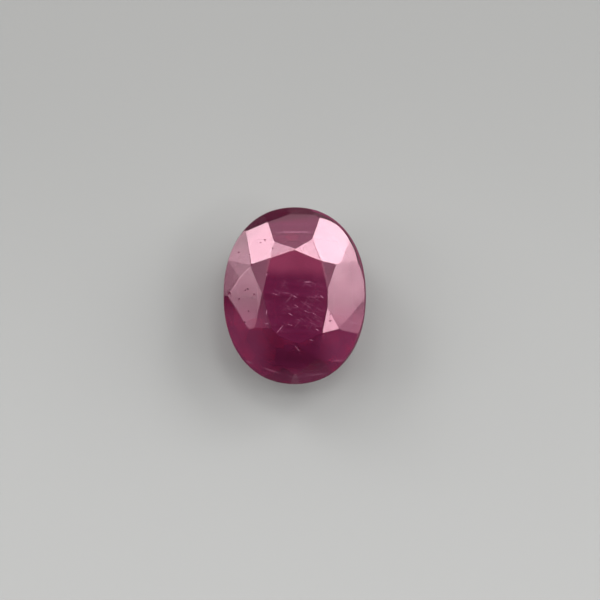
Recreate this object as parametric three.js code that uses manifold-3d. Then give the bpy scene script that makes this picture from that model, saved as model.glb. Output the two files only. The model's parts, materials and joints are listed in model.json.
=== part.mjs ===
// A loose oval ruby in a hand-made mixed cut: a brilliant crown over a stepped pavilion with a flat culet.
// Units are millimetres. +Z is up through the table, +Y runs along the stone, and the origin is the middle
// of the culet, the flat face that the stone sits on.
//
// The stone is made as a cutter makes it. A rounded oval blank is ground flat, one facet at a time.

import * as THREE from "three";
import { mergeVertices } from "three/addons/utils/BufferGeometryUtils.js";
import Module from "manifold-3d";

// Driving dimensions
const LENGTH = 10.0;
const WIDTH = 8.05;
const CROWN = 1.2; // table down to the level that the crown's reaches are measured at
const GIRDLE = 0.55; // the band that the crown and the pavilion cut into from both sides
const PAVILION = 2.85;

// The outline is a superellipse, a little fuller at its shoulders than an ellipse.
const FULLNESS = 2.18;
const OUTLINE_SIDES = 96;

// The girdle is rounded: its edges stand in by these shares of the outline, more above than below.
const ROUNDING_ABOVE = 0.024;
const ROUNDING_BELOW = 0.008;
const GIRDLE_STEPS = 4;

const GIRDLE_BOTTOM = PAVILION;
const GIRDLE_TOP = PAVILION + GIRDLE;
const TABLE = GIRDLE_TOP + CROWN;

// Crown facets. The bearing is the way a facet faces, in degrees from +X towards +Y, and the slope is its
// angle from level. The reach, from the axis, is where a main or a star meets the table's plane.
const MAINS = [
  { bearing: 0, slope: 30, reach: 1.84 },
  { bearing: 42, slope: 29, reach: 2.39 },
  { bearing: 97, slope: 28.5, reach: 2.56 },
  { bearing: 133, slope: 30.5, reach: 2.45 },
  { bearing: 186, slope: 29, reach: 1.76 },
  { bearing: 228, slope: 31.5, reach: 2.24 },
  { bearing: 271, slope: 28.5, reach: 2.72 },
  { bearing: 322, slope: 32, reach: 2.5 },
];

const STARS = [
  { bearing: 12.5, slope: 19.5, reach: 1.86 },
  { bearing: 67.5, slope: 15, reach: 2.36 },
  { bearing: 109, slope: 21, reach: 2.41 },
  { bearing: 167.5, slope: 16, reach: 1.76 },
  { bearing: 193, slope: 22, reach: 1.7 },
  { bearing: 249, slope: 19, reach: 2.42 },
  { bearing: 294, slope: 20.5, reach: 2.53 },
  { bearing: 348.5, slope: 23, reach: 1.92 },
];

// The reach of an upper girdle facet is taken at the level of the girdle's top. The cutter spaced these
// facets unevenly and left some out.
const UPPER_GIRDLES = [
  { bearing: 1, slope: 34, reach: 3.9 },
  { bearing: 29.5, slope: 32.5, reach: 4.38 },
  { bearing: 93, slope: 44, reach: 4.7 },
  { bearing: 102.5, slope: 43, reach: 4.64 },
  { bearing: 125, slope: 43.5, reach: 4.53 },
  { bearing: 152.5, slope: 39, reach: 4.09 },
  { bearing: 169, slope: 38, reach: 3.9 },
  { bearing: 172, slope: 39.5, reach: 3.84 },
  { bearing: 196, slope: 41, reach: 3.74 },
  { bearing: 212, slope: 38, reach: 4.05 },
  { bearing: 256, slope: 42, reach: 4.6 },
  { bearing: 270, slope: 44, reach: 4.7 },
  { bearing: 286, slope: 42, reach: 4.58 },
  { bearing: 304, slope: 40, reach: 4.6 },
  { bearing: 332, slope: 35, reach: 4.27 },
  { bearing: 353, slope: 34, reach: 3.92 },
];

// Pavilion steps, from the girdle down: each row has its slope and its depth.
const PAVILION_STEPS = [
  { slope: 62, depth: 0.85 },
  { slope: 47, depth: 1.1 },
  { slope: 33, depth: 0.9 },
];
const FACETS_IN_A_STEP = 12;

// The steps were ground by eye: their slopes stray by this many degrees, with no plain pattern.
const STRAY = 0.8;
const STRAY_ALONG_A_STEP = 5;
const STRAY_BETWEEN_STEPS = 3;

const wasm = await Module();
wasm.setup();

const radians = THREE.MathUtils.degToRad;

function solidFrom(geometry) {
  geometry.deleteAttribute("normal");
  geometry.deleteAttribute("uv");
  const closed = mergeVertices(geometry);
  return new wasm.Manifold(
    new wasm.Mesh({
      numProp: 3,
      vertProperties: closed.attributes.position.array,
      triVerts: new Uint32Array(closed.index.array),
    }),
  );
}

function geometryFrom(solid) {
  const { vertProperties, triVerts } = solid.getMesh();
  const geometry = new THREE.BufferGeometry();
  geometry.setAttribute("position", new THREE.BufferAttribute(vertProperties, 3));
  geometry.setIndex(new THREE.BufferAttribute(triVerts, 1));
  const flat = geometry.toNonIndexed();
  flat.computeVertexNormals();
  return flat;
}

// A point of the unit circle, moved out to the stone's outline.
function onOutline(cosine, sine) {
  const stretch = (value, half) => Math.sign(value) * half * Math.abs(value) ** (2 / FULLNESS);
  return [stretch(cosine, WIDTH / 2), stretch(sine, LENGTH / 2)];
}

// How far the outline reaches from the axis, measured square to a facet of this bearing.
function outlineReach(bearing) {
  const dual = FULLNESS / (FULLNESS - 1);
  const across = Math.abs((WIDTH / 2) * Math.cos(radians(bearing))) ** dual;
  const along = Math.abs((LENGTH / 2) * Math.sin(radians(bearing))) ** dual;
  return (across + along) ** (1 / dual);
}

// The blank: a barrel turned on the axis, then drawn out to the oval. It is taller than the stone, and it
// tapers above and below the girdle, at least as much as the girdle's edges do.
function blank() {
  const spare = 1;
  const taperBelow = 0.2;
  const taperAbove = 0.35;
  const profile = [new THREE.Vector2(0, -spare), new THREE.Vector2(1 - taperBelow, -spare)];
  for (let step = 0; step <= GIRDLE_STEPS; step++) {
    const share = step / GIRDLE_STEPS;
    const rounding = share < 0.5 ? ROUNDING_BELOW : ROUNDING_ABOVE;
    const inset = rounding * (2 * share - 1) ** 2;
    profile.push(new THREE.Vector2(1 - inset, GIRDLE_BOTTOM + GIRDLE * share));
  }
  profile.push(new THREE.Vector2(1 - taperAbove, TABLE + spare), new THREE.Vector2(0, TABLE + spare));

  const geometry = new THREE.LatheGeometry(profile, OUTLINE_SIDES).rotateX(Math.PI / 2);
  const position = geometry.attributes.position;
  for (let i = 0; i < position.count; i++) {
    const radius = Math.hypot(position.getX(i), position.getY(i)) || 1;
    const [x, y] = onOutline(position.getX(i) / radius, position.getY(i) / radius);
    position.setXY(i, x * radius, y * radius);
  }
  return solidFrom(geometry);
}

// Grinds one flat facet: everything beyond its plane is taken away. A facet of slope 0 faces straight up,
// and one of slope 180 straight down. Its plane is at this reach from the axis at the given level.
function grind(stone, { bearing, slope, reach }, level) {
  const lapSize = 4 * LENGTH;
  const lap = new THREE.BoxGeometry(lapSize, lapSize, lapSize).translate(0, 0, lapSize / 2);
  lap.rotateY(radians(slope)).translate(reach, 0, level).rotateZ(radians(bearing));
  return stone.subtract(solidFrom(lap));
}

function grindCrown(stone) {
  const table = { bearing: 0, slope: 0, reach: 0 };
  let cut = grind(stone, table, TABLE);
  for (const facet of [...MAINS, ...STARS]) cut = grind(cut, facet, TABLE);
  for (const facet of UPPER_GIRDLES) cut = grind(cut, facet, GIRDLE_TOP);
  return cut;
}

// Each row of steps starts where the row above it ends. The rows follow the outline.
function grindPavilion(stone) {
  let cut = stone;
  for (let facet = 0; facet < FACETS_IN_A_STEP; facet++) {
    const bearing = (facet * 360) / FACETS_IN_A_STEP;
    let reach = outlineReach(bearing);
    let level = GIRDLE_BOTTOM;
    PAVILION_STEPS.forEach(({ slope, depth }, row) => {
      const stray = STRAY * Math.sin(STRAY_ALONG_A_STEP * facet + STRAY_BETWEEN_STEPS * row);
      cut = grind(cut, { bearing, slope: 180 - slope - stray, reach }, level);
      reach -= depth / Math.tan(radians(slope));
      level -= depth;
    });
  }
  const culet = { bearing: 0, slope: 180, reach: 0 };
  return grind(cut, culet, 0);
}

const rubyMaterial = new THREE.MeshStandardMaterial({
  color: 0x6a1e45,
  roughness: 0.08,
  metalness: 0,
});

const ruby = new THREE.Mesh(geometryFrom(grindPavilion(grindCrown(blank()))), rubyMaterial);
ruby.name = "ruby";

const looseStone = new THREE.Group();
looseStone.add(ruby);

export default looseStone;
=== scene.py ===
# The looks of a loose oval ruby that rests table up on a pale floor, seen from straight above.
# The script works in metres. Places on the stone and its own sizes are given in millimetres.

import json
import math

import bpy
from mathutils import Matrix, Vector

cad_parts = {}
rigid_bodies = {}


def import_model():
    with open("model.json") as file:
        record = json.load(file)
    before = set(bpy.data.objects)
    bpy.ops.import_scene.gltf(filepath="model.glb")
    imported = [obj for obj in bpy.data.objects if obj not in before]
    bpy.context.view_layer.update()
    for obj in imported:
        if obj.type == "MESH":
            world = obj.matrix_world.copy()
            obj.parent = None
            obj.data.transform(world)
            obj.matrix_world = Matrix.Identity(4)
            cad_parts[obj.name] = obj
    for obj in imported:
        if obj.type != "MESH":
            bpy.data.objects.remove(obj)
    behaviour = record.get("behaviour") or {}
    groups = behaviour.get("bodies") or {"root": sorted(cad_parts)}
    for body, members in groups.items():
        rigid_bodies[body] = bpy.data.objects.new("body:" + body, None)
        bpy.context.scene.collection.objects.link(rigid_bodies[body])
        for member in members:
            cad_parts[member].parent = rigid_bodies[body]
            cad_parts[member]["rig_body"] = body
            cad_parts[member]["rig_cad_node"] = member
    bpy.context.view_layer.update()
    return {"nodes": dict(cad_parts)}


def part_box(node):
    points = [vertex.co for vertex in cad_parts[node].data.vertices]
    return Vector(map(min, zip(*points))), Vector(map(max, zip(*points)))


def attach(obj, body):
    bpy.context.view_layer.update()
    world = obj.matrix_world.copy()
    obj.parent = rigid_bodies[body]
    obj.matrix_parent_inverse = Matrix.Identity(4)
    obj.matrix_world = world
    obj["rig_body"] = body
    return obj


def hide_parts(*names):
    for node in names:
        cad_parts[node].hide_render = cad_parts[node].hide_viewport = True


MM = 0.001

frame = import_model()
TABLE_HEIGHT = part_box("ruby")[1].z


class Signal:
    """An output of a material's nodes. Arithmetic on it adds Math nodes to the same material."""

    def __init__(self, socket):
        self.socket = socket

    def node(self, kind, settings, sockets, output=0):
        """Adds a node of this kind: its settings first, then the values or links of its sockets."""
        tree = self.socket.id_data
        made = tree.nodes.new(kind)
        for name, setting in settings.items():
            setattr(made, name, setting)
        for name, value in sockets.items():
            if isinstance(value, Signal):
                tree.links.new(value.socket, made.inputs[name])
            else:
                made.inputs[name].default_value = value
        return Signal(made.outputs[output])

    def math(self, operation, *values):
        return self.node("ShaderNodeMath", {"operation": operation}, dict(enumerate(values)))

    def __add__(self, other):
        return self.math("ADD", self, other)

    __radd__ = __add__

    def __sub__(self, other):
        return self.math("SUBTRACT", self, other)

    def __rsub__(self, other):
        return self.math("SUBTRACT", other, self)

    def __mul__(self, other):
        return self.math("MULTIPLY", self, other)

    __rmul__ = __mul__

    def __abs__(self):
        return self.math("ABSOLUTE", self)


def ramp(signal, low, high):
    """0 below low, 1 above high, and a smooth rise between them."""
    settings = {"interpolation_type": "SMOOTHSTEP"}
    sockets = {"Value": signal, "From Min": low, "From Max": high}
    return signal.node("ShaderNodeMapRange", settings, sockets)


def blend(share, first, second):
    """Mixes two colours: all first at share 0, all second at share 1."""
    settings = {"data_type": "RGBA"}
    return share.node("ShaderNodeMix", settings, {0: share, 6: first, 7: second}, output=2)


def larger(first, second):
    return first.math("MAXIMUM", first, second)


def axes(place):
    """The place's x, y and z."""
    split = place.node("ShaderNodeSeparateXYZ", {}, {"Vector": place})
    return [Signal(split.socket.node.outputs[name]) for name in "XYZ"]


def moved(place, offset):
    return place.node("ShaderNodeVectorMath", {"operation": "SUBTRACT"}, {0: place, 1: offset})


def turned(place, degrees):
    """The place, turned about the upright axis."""
    sockets = {"Vector": place, "Angle": math.radians(degrees)}
    return place.node("ShaderNodeVectorRotate", {"rotation_type": "Z_AXIS"}, sockets)


def stretched(place, factors):
    return place.node("ShaderNodeVectorMath", {"operation": "MULTIPLY"}, {0: place, 1: factors})


NOISE_MEAN = 0.5


def noise(place, scale, detail=2.0):
    return place.node("ShaderNodeTexNoise", {}, {"Vector": place, "Scale": scale, "Detail": detail})


MARK_FADE = (0.3, 1.0)  # where a mark starts to fade and where it is gone, as shares of the way to its rim


def mark(place, x, y, degrees, length, width):
    """A long or round mark, seen from above: 1 in its middle, falling to 0 at its rim."""
    local = turned(moved(place, (x, y, 0)), -degrees)
    shaped = stretched(local, (2 / length, 2 / width, 0))
    far = shaped.node("ShaderNodeVectorMath", {"operation": "LENGTH"}, {0: shaped}, output="Value")
    return 1 - ramp(far, *MARK_FADE)


def new_material(name):
    """Gives a material, its empty tree and the place on the object in millimetres."""
    material = bpy.data.materials.new(name)
    material.use_nodes = True
    tree = material.node_tree
    tree.nodes.clear()
    coordinates = Signal(tree.nodes.new("ShaderNodeTexCoord").outputs["Object"])
    scale = {0: coordinates, "Scale": 1 / MM}
    place = coordinates.node("ShaderNodeVectorMath", {"operation": "SCALE"}, scale)
    return material, tree, place


def finish_material(tree, surface, volume=None):
    output = tree.nodes.new("ShaderNodeOutputMaterial")
    tree.links.new(surface.socket, output.inputs["Surface"])
    if volume:
        tree.links.new(volume.socket, output.inputs["Volume"])


# Colours, in linear light
CRIMSON = (0.150, 0.013, 0.060, 1.0)
DARK_CRIMSON = (0.115, 0.007, 0.042, 1.0)
# Painted light: the lighter crimson of the lower sides and bottom rim, where the lower facets catch more
# light.
PAINTED_LIGHT_CRIMSON = (0.235, 0.036, 0.105, 1.0)
DEEP_END = (0.070, 0.005, 0.024, 1.0)
# Painted glow: light coming up through the pavilion's upper end, painted on the table's upper part.
PAINTED_GLOW = (0.28, 0.040, 0.10, 1.0)
# The light colour of silk, which the painted glint and the painted highlights take too.
SILK_AND_HIGHLIGHTS = (0.50, 0.19, 0.31, 1.0)
PINK_GLINT = (1.0, 0.62, 0.72, 1.0)
CLEAR = (0.98, 0.90, 0.93, 1.0)
ABSORBED = (0.80, 0.06, 0.36, 1.0)
PALE_GREY = (0.315, 0.315, 0.31, 1.0)
# The floor's painted shade towards the back.
SHADED_GREY = (0.235, 0.235, 0.23, 1.0)

RUBY_IOR = 1.77
ABSORPTION = 650.0

# The silk needles that show best, and a painted glint: where each one's middle is, its turn in degrees
# and its length. Places and lengths here are in millimetres.
NEEDLES_AND_GLINT = [
    (-1.04, 0.07, -21, 0.55),
    (-0.04, -0.02, -29, 0.55),
    (0.08, -0.56, -32, 0.35),
    (0.65, -0.88, -25, 0.40),
    (1.10, -1.02, -32, 0.32),
    (-0.23, -1.04, -30, 0.36),
    (0.94, -2.48, -15, 0.32),
    (0.15, -2.95, -50, 0.60),
    (-1.55, -1.56, 0, 0.32),
    (-1.57, -0.94, 86, 0.45),
    (-0.82, -1.87, 49, 0.75),
    (1.52, -0.06, -40, 0.40),
    (0.72, 0.76, 0, 0.55),
    (-0.25, -1.63, -15, 0.34),
    (1.26, -1.90, -28, 0.30),
    # A painted glint, not a needle: the white highlight of a chip at the table's edge.
    (-1.55, 1.18, 80, 0.32),
]
NEEDLE_AND_GLINT_WIDTH = 0.075

# Thin growth lines and feathers near the rim, in the same way, with painted highlights among them: the first
# is a painted highlight along the crease across the top kite facet, and the last three are painted highlights
# on the thin strips along the bottom rim that catch the light.
GROWTH_LINES_AND_HIGHLIGHTS = [
    # Painted highlight along the crease across the top kite facet.
    (-0.10, 3.56, 0, 3.20),
    (3.32, -1.52, 3, 0.80),
    (2.45, -3.66, 1, 0.90),
    (-2.55, -3.76, -22, 0.60),
    # Painted highlights on the thin strips along the bottom rim, where they catch the light.
    (-1.30, -4.22, -19, 1.50),
    (0.05, -4.58, -2, 1.10),
    (1.25, -4.44, 6, 1.60),
]
LINE_WIDTH = 0.12
LINE_STRENGTH = 0.5

# Fine silk: the turn of its fibres in degrees, and how they are stretched.
FINE_SILK = [
    (27.0, (1.5, 13.0, 4.0)),
    (36.0, (2.2, 15.0, 4.0)),
    (2.0, (1.4, 16.0, 4.0)),
    (-52.0, (1.6, 15.0, 4.0)),
]
FINE_STRENGTH = 0.25

# The fine silk lies in a slanted patch on the table, which fades out over these distances from its middle.
PATCH_SLANT = 0.2
PATCH_ACROSS = (1.2, 2.0)
PATCH_ALONG = (1.2, 2.1)
PATCH_MIDDLE = -0.85

# Noise that breaks up needles, lines and silk: its scale and the range that it rises over.
NEEDLE_AND_GLINT_BREAKS = (7.0, (0.25, 0.55))
LINE_BREAKS = (3.0, (0.15, 0.45))
SILK_BREAKS = (1.1, (0.36, 0.60))
FIBRE_RISE = (0.60, 0.76)


def breaks(place, scale, rise):
    return ramp(noise(place, scale), *rise)


def drawn(place, strokes, width):
    """Thin strokes on the stone, each with its middle, its turn and its length."""
    strength = 0.0
    for x, y, degrees, length in strokes:
        strength = larger(mark(place, x, y, degrees, length, width), strength)
    return strength


def silk_and_glint(place):
    """Silk in the crystal: single needle marks, a fine haze of shorter ones and one painted glint of a chip.
    """
    needles_and_glint = drawn(place, NEEDLES_AND_GLINT, NEEDLE_AND_GLINT_WIDTH) * breaks(place, *NEEDLE_AND_GLINT_BREAKS)

    x, y, _ = axes(place)
    across = 1 - ramp(abs(x + PATCH_SLANT * y), *PATCH_ACROSS)
    along = 1 - ramp(abs(y - PATCH_MIDDLE), *PATCH_ALONG)
    fine = 0.0
    for degrees, grain in FINE_SILK:
        fibres = noise(stretched(turned(place, degrees), grain), 1.0, detail=1.0)
        fine = larger(ramp(fibres, *FIBRE_RISE), fine)
    return larger(needles_and_glint, FINE_STRENGTH * fine * across * along * breaks(place, *SILK_BREAKS))


# Zones on the stone, each with the two places that it fades in between, some of them for painted light.
# Heights are from the table.
TABLE_ZONE = (-0.04, -0.01)
CROWN_ZONE = (-1.6, -1.5)
RIM_ZONE = (-1.0, -0.84)
UPPER_END = (2.4, 3.0)
GLOW_END = (0.8, 1.75)
LOWER_PART = (0.2, 1.4)
LOWER_RIM = (3.9, 4.5)
SIDES = (0.9, 2.4)

# Lighter and darker bands cross the stone nearly square to its length and wave with the clouds in it.
CLOUD_SCALE = 0.55
BAND_SCALE = 2.4
BAND_SLANT = 0.05
BAND_WAVE = 0.3
BAND_RISE = (0.25, 0.75)

# Polish: the roughness of the clearest and what clouds add, and the waves that the lap left.
POLISH = 0.10
CLOUDED_POLISH = 0.05
CLOUD_RISE = (0.3, 0.7)
WAVE_SCALE = 1.3
WAVE_STRENGTH = 0.03
WAVE_DEPTH = 0.05 * MM

# How much of the surface is clouded crystal rather than clear, at least, and what clouds add.
CLOUDED = 0.38
CLOUDED_MORE = 0.2


def ruby_crystal():
    """Polished ruby: clear crimson crystal, clouded by silky inclusions, with lighter and darker bands and
    growth lines.
    Its painted light: a glow on the table's upper part, lighter lower sides and bottom rim, a glint and
    highlights.
    """
    material, tree, place = new_material("polished_ruby")
    x, y, z = axes(place)
    height = z - TABLE_HEIGHT / MM
    on_table = ramp(height, *TABLE_ZONE)
    on_crown = ramp(height, *CROWN_ZONE)

    cloud = noise(place, CLOUD_SCALE, detail=3.0)
    along = y + BAND_SLANT * x + BAND_WAVE * (cloud - NOISE_MEAN)
    bands = along.node(
        "ShaderNodeTexNoise",
        {"noise_dimensions": "1D"},
        {"W": along, "Scale": BAND_SCALE, "Detail": 3.0},
    )
    body = blend(ramp(bands, *BAND_RISE), DARK_CRIMSON, CRIMSON)
    # Painted light: off the table, the lower sides and bottom rim are painted lighter, where the lower facets
    # catch more light.
    lower_sides = ramp(-1 * y, *LOWER_PART) * ramp(abs(x), *SIDES)
    painted_lit = larger(lower_sides, ramp(-1 * y, *LOWER_RIM)) * (1 - on_table)
    body = blend(painted_lit, body, PAINTED_LIGHT_CRIMSON)
    upper_rim = ramp(y, *UPPER_END) * (1 - ramp(height, *RIM_ZONE))
    body = blend(upper_rim, body, DEEP_END)
    # Painted light: the table's upper part is painted with the glow of light coming up through the pavilion.
    body = blend(ramp(along, *GLOW_END) * on_table, body, PAINTED_GLOW)

    # Growth lines and painted highlights, drawn in the light silk colour together with the silk and its
    # painted glint.
    lines = drawn(place, GROWTH_LINES_AND_HIGHLIGHTS, LINE_WIDTH) * breaks(place, *LINE_BREAKS)
    body = blend(larger(silk_and_glint(place), LINE_STRENGTH * lines) * on_crown, body, SILK_AND_HIGHLIGHTS)

    waves = noise(place, WAVE_SCALE)
    bump = {"Strength": WAVE_STRENGTH, "Distance": WAVE_DEPTH, "Height": waves}
    normal = waves.node("ShaderNodeBump", {}, bump)
    roughness = POLISH + CLOUDED_POLISH * ramp(cloud, *CLOUD_RISE)

    clear = body.node(
        "ShaderNodeBsdfPrincipled",
        {},
        {
            "Base Color": CLEAR,
            "Roughness": roughness,
            "IOR": RUBY_IOR,
            "Transmission Weight": 1.0,
            "Specular Tint": PINK_GLINT,
            "Normal": normal,
        },
    )
    clouded = body.node(
        "ShaderNodeBsdfPrincipled",
        {},
        {
            "Base Color": body,
            "Roughness": roughness,
            "IOR": RUBY_IOR,
            "Specular Tint": PINK_GLINT,
            "Normal": normal,
        },
    )
    share = CLOUDED + CLOUDED_MORE * cloud
    surface = body.node("ShaderNodeMixShader", {}, {0: share, 1: clear, 2: clouded})
    depth = body.node("ShaderNodeVolumeAbsorption", {}, {"Color": ABSORBED, "Density": ABSORPTION})
    finish_material(tree, surface, depth)
    return material


# The ground finish: its grain, its roughness and how much less it shines than the polish.
GRAIN_SCALE = 14.0
GRAIN_RISE = (0.3, 0.7)
GRAIN_STRENGTH = 0.4
GRAIN_DEPTH = 0.01 * MM
GROUND = 0.35
GROUND_MORE = 0.2
GROUND_SHINE = 0.25


def ground_girdle():
    """The finish of the girdle's band and of the pits: ground or broken, but not polished."""
    material, tree, place = new_material("ground_girdle")
    grain = noise(place, GRAIN_SCALE, detail=4.0)
    body = blend(ramp(grain, *GRAIN_RISE), DEEP_END, DARK_CRIMSON)
    bump = {"Strength": GRAIN_STRENGTH, "Distance": GRAIN_DEPTH, "Height": grain}
    normal = grain.node("ShaderNodeBump", {}, bump)
    surface = body.node(
        "ShaderNodeBsdfPrincipled",
        {},
        {
            "Base Color": body,
            "Roughness": GROUND + GROUND_MORE * grain,
            "IOR": RUBY_IOR,
            "Specular IOR Level": GROUND_SHINE,
            "Specular Tint": PINK_GLINT,
            "Normal": normal,
        },
    )
    depth = body.node("ShaderNodeVolumeAbsorption", {}, {"Color": ABSORBED, "Density": ABSORPTION})
    finish_material(tree, surface, depth)
    return material


# The floor's colour is painted darker slowly towards the back, a painted shade of the light falling off, with
# a soft mottle.
PAINTED_SHADE_SPAN = (-22.0, 22.0)
MOTTLE = 12.0
MOTTLE_SCALE = 0.02
FLOOR_ROUGHNESS = 0.9


def pale_floor():
    material, tree, place = new_material("pale_floor")
    _, y, _ = axes(place)
    mottle = noise(place, MOTTLE_SCALE, detail=3.0)
    colour = blend(ramp(y + MOTTLE * (mottle - NOISE_MEAN), *PAINTED_SHADE_SPAN), PALE_GREY, SHADED_GREY)
    sockets = {"Base Color": colour, "Roughness": FLOOR_ROUGHNESS}
    surface = colour.node("ShaderNodeBsdfPrincipled", {}, sockets)
    finish_material(tree, surface)
    return material


# The stone. It is worked on at a thousand times its size, so its sizes are in millimetres as they stand.

WELD = 0.002
FLAT_ANGLE = math.radians(0.3)
CUT_TOLERANCE = 0.0002
GIRDLE_BAND = (2.84, 3.42)
BAND_LEAN = 0.62  # a face in the girdle's band is part of it where its normal rises or falls less than this
WALL_LEAN = 0.35  # and so is the wall between the facets below the band, where it is this upright
SOFT_ANGLE = math.radians(4)  # edges between facets flatter than this aren't worn
SLIVER = 0.002  # and neither are the edges of faces smaller than this, in square millimetres
WORN_WIDTH = 0.03

# Pits in the polish: where each one is and how wide.
PITS = [
    (-1.67, 3.12, 0.15),
    (-1.91, 2.97, 0.11),
    (-2.63, 0.37, 0.16),
    (-2.77, 0.29, 0.12),
    (-2.27, 0.08, 0.12),
    (-3.12, -0.19, 0.14),
    (-2.60, -0.87, 0.11),
    (-2.81, -1.50, 0.16),
    (1.98, -1.02, 0.13),
    (1.99, -1.40, 0.14),
    (-3.15, 2.43, 0.13),
    (-2.53, 2.29, 0.12),
    (-3.66, 0.14, 0.24),
    (-2.42, 1.72, 0.16),
    (-1.24, 2.62, 0.12),
    (-1.50, 1.26, 0.12),
]
PIT_STAND_OFF = 0.35  # how far a pit's middle stands off the facet, as a share of its radius
PIT_SHAPE = (1.0, 0.75, 0.9)
PIT_ROUNDNESS = 2


def on_girdle(face):
    bottom, top = GIRDLE_BAND
    lean = abs(face.normal.z)
    return lean < WALL_LEAN or bottom < face.center.z < top and lean < BAND_LEAN


def worn_edges(mesh):
    """For each edge between two facets: a point on it, the way it faces and how deep it is worn."""
    sides = {}
    for face in mesh.polygons:
        if face.area > SLIVER and not on_girdle(face):
            for edge in face.edge_keys:
                sides.setdefault(edge, []).append(face.normal.copy())
    worn = []
    for (start, end), normals in sides.items():
        if len(normals) < 2:
            continue
        one, other = normals
        angle = one.angle(other)
        if angle < SOFT_ANGLE:
            continue
        middle = (mesh.vertices[start].co + mesh.vertices[end].co) / 2
        worn.append((middle, (one + other).normalized(), WORN_WIDTH / 2 * math.tan(angle / 2)))
    return worn


def pit_stone(stone):
    """Takes small bites out of the facets and their edges."""
    above = 2 * TABLE_HEIGHT / MM
    bpy.ops.object.select_all(action="DESELECT")
    bites = []
    for turn, (x, y, width) in enumerate(PITS):
        _, spot, facing, _ = stone.ray_cast(Vector((x, y, above)), Vector((0, 0, -1)))
        radius = width / 2 / math.sqrt(1 - PIT_STAND_OFF**2)
        bpy.ops.mesh.primitive_ico_sphere_add(
            subdivisions=PIT_ROUNDNESS,
            radius=radius,
            location=spot + facing * radius * PIT_STAND_OFF,
            rotation=(turn, turn, turn),
            scale=PIT_SHAPE,
        )
        bites.append(bpy.context.active_object)
    for bite in bites:
        bite.select_set(True)
    bpy.ops.object.join()
    cutter = bpy.context.active_object
    cutter.data.materials.append(stone.data.materials[0])
    cutter.data.materials.append(stone.data.materials[1])
    for face in cutter.data.polygons:
        face.material_index = 1
    bitten = stone.modifiers.new("pits", "BOOLEAN")
    bitten.operation = "DIFFERENCE"
    bitten.solver = "EXACT"
    bitten.object = cutter
    bpy.context.view_layer.objects.active = stone
    bpy.ops.object.modifier_apply(modifier=bitten.name)
    bpy.data.objects.remove(cutter)


def grind_girdle(stone):
    """Gives the girdle's band its own finish and smooths its round."""
    bpy.ops.object.select_all(action="DESELECT")
    stone.select_set(True)
    bpy.context.view_layer.objects.active = stone
    bpy.ops.object.mode_set(mode="EDIT")
    bpy.ops.mesh.select_mode(type="FACE")
    bpy.ops.mesh.select_all(action="DESELECT")
    bpy.ops.object.mode_set(mode="OBJECT")
    for face in stone.data.polygons:
        face.select = on_girdle(face)
    bpy.ops.object.mode_set(mode="EDIT")
    stone.active_material_index = 1
    bpy.ops.object.material_slot_assign()
    bpy.ops.mesh.faces_shade_smooth()
    bpy.ops.mesh.region_to_loop()
    bpy.ops.mesh.mark_sharp()
    bpy.ops.object.mode_set(mode="OBJECT")


def resize(stone, factor):
    """Makes the stone larger or smaller about the origin."""
    bpy.ops.object.select_all(action="DESELECT")
    stone.select_set(True)
    stone.scale = (factor, factor, factor)
    bpy.ops.object.transform_apply(location=False, rotation=False, scale=True)


def cut_stone(node):
    """The stone itself: a copy of the ground solid, with whole facets, worn edges and a ground girdle."""
    bpy.ops.object.select_all(action="DESELECT")
    node.select_set(True)
    bpy.context.view_layer.objects.active = node
    bpy.ops.object.duplicate()
    stone = bpy.context.active_object
    stone.name = "cut_ruby"
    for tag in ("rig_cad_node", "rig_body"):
        del stone[tag]
    stone.data.materials.clear()
    stone.data.materials.append(ruby_crystal())
    stone.data.materials.append(ground_girdle())

    resize(stone, 1 / MM)
    bpy.ops.object.mode_set(mode="EDIT")
    bpy.ops.mesh.select_all(action="SELECT")
    bpy.ops.mesh.customdata_custom_splitnormals_clear()
    bpy.ops.mesh.remove_doubles(threshold=WELD)
    bpy.ops.mesh.dissolve_limited(angle_limit=FLAT_ANGLE)
    bpy.ops.mesh.faces_shade_flat()
    bpy.ops.object.mode_set(mode="OBJECT")

    worn = worn_edges(stone.data)
    bpy.ops.object.mode_set(mode="EDIT")
    for middle, facing, depth in worn:
        bpy.ops.mesh.select_all(action="SELECT")
        bpy.ops.mesh.bisect(
            plane_co=middle - facing * depth,
            plane_no=facing,
            clear_outer=True,
            threshold=CUT_TOLERANCE,
        )
        bpy.ops.mesh.select_all(action="SELECT")
        bpy.ops.mesh.fill_holes(sides=0)
    bpy.ops.object.mode_set(mode="OBJECT")
    grind_girdle(stone)
    pit_stone(stone)
    resize(stone, MM)
    return stone


# Stage

PHOTO_SIDE = 600
PIXELS_PER_MM = 17.72
STONE_IN_PHOTO = (294.7, 295.7)
LENS = 100.0
SENSOR = 36.0
CLIP_START = 1 * MM
GIRDLE_HEIGHT = 3.3 * MM
LIGHT_REACH = 0.6
FLOOR_RADIUS = 4.0
FLOOR_SIDES = 64
FLOOR_GAP = 0.02 * MM
ROOM_GLOW = 0.05
WALL_GLOW = 1.75

# Where the lit walls fade in, from the front to the back and up from the floor, and where the ceiling starts.
# These are the parts of a direction of length 1.
WALLS_BACK = (-0.3, 0.2)
WALLS_FOOT = (0.12, 0.3)
CEILING = (0.88, 0.97)


def lay_floor():
    bpy.ops.mesh.primitive_circle_add(
        vertices=FLOOR_SIDES, radius=FLOOR_RADIUS, fill_type="NGON", location=(0, 0, -FLOOR_GAP)
    )
    floor = bpy.context.active_object
    floor.name = "floor"
    floor.data.materials.append(pale_floor())


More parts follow.
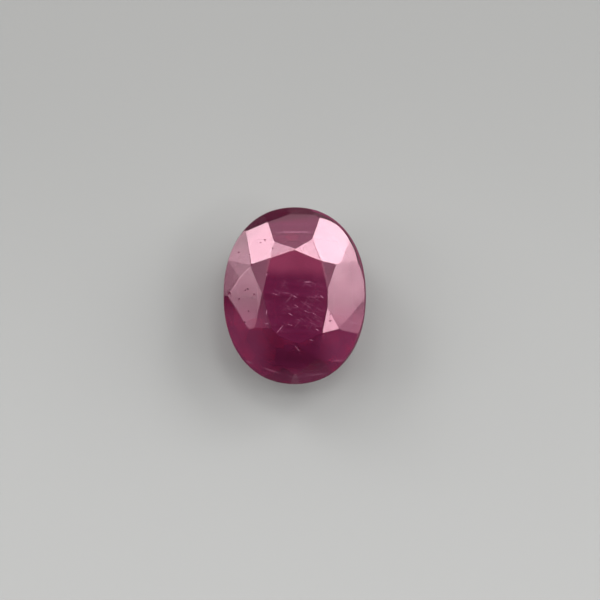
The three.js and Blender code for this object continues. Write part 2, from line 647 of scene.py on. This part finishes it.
def softbox(name, bearing, lean, width, height, glow):
    """A flat panel that faces the stone. The bearing is its side, in degrees from +X towards +Y, and the lean
    is its angle from overhead. Its width and height are angles too, and the glow is its radiance."""
    side, tilt = math.radians(bearing), math.radians(lean)
    towards = Vector((math.sin(tilt) * math.cos(side), math.sin(tilt) * math.sin(side), math.cos(tilt)))
    bpy.ops.object.light_add(type="AREA", location=towards * LIGHT_REACH + Vector((0, 0, TABLE_HEIGHT)))
    lamp = bpy.context.active_object
    lamp.name = name
    lamp.rotation_mode = "QUATERNION"
    lamp.rotation_quaternion = towards.to_track_quat("Z", "Y")
    lamp.data.shape = "RECTANGLE"
    lamp.data.size = 2 * LIGHT_REACH * math.tan(math.radians(width) / 2)
    lamp.data.size_y = 2 * LIGHT_REACH * math.tan(math.radians(height) / 2)
    lamp.data.energy = math.pi * glow * lamp.data.size * lamp.data.size_y


# Each softbox: its bearing, its lean from overhead, its width and height, all in degrees, and its glow.
SOFTBOXES = {
    "key_right": (46, 57, 13, 14, 13.0),
    "key_left": (131, 60, 18, 20, 9.6),
    "star_right": (67, 30, 14, 13, 9.4),
    "star_left": (110, 41, 12, 13, 6.0),
    "fill_right": (18.8, 62, 34, 26, 5.7),
    "shoulder_right": (27, 66, 9, 8, 1.4),
    "spot_right": (348, 46, 13, 13, 7.8),
    "low_right": (350, 70, 10, 10, 1.4),
    "fill_left": (173, 58, 22, 18, 4.2),
    "low_left": (156, 79, 32, 10, 2.5),
    "shoulder_left": (148, 78, 18, 10, 1.8),
    "overhead": (90, 14, 46, 8, 6.5),
    "edge_left": (177, 69, 10, 5, 6.0),
    "front": (270, 78, 44, 5, 3.0),
}


def light_the_stone():
    for name, (bearing, lean, width, height, glow) in SOFTBOXES.items():
        softbox(name, bearing, lean, width, height, glow)


def dim_room():
    """The room: soft light from the back and the sides, and dark overhead, in front and along the floor."""
    world = bpy.data.worlds.new("dim_room")
    bpy.context.scene.world = world
    world.use_nodes = True
    tree = world.node_tree
    tree.nodes.clear()
    towards = Signal(tree.nodes.new("ShaderNodeTexCoord").outputs["Generated"])
    _, y, z = axes(towards)
    walls = ramp(y, *WALLS_BACK) * ramp(z, *WALLS_FOOT) * (1 - ramp(z, *CEILING))
    light = walls.node("ShaderNodeBackground", {}, {"Strength": ROOM_GLOW + WALL_GLOW * walls})
    output = tree.nodes.new("ShaderNodeOutputWorld")
    tree.links.new(light.socket, output.inputs["Surface"])


def look_down():
    """A camera straight above, framed as the photo: the stone's middle is at its pixel there."""
    middle = PHOTO_SIDE / 2
    right = (middle - STONE_IN_PHOTO[0]) / PIXELS_PER_MM * MM
    up = (STONE_IN_PHOTO[1] - middle) / PIXELS_PER_MM * MM
    field = PHOTO_SIDE / PIXELS_PER_MM * MM
    height = field * LENS / SENSOR
    bpy.ops.object.camera_add(location=(right, up, GIRDLE_HEIGHT + height), rotation=(0, 0, 0))
    camera = bpy.context.active_object
    camera.data.lens = LENS
    camera.data.sensor_width = SENSOR
    camera.data.clip_start = CLIP_START
    bpy.context.scene.camera = camera
    bpy.context.scene.view_settings.view_transform = "Standard"


stone = cut_stone(frame["nodes"]["ruby"])
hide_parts("ruby")
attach(stone, "root")

lay_floor()
light_the_stone()
dim_room()
look_down()

bpy.context.view_layer.update()
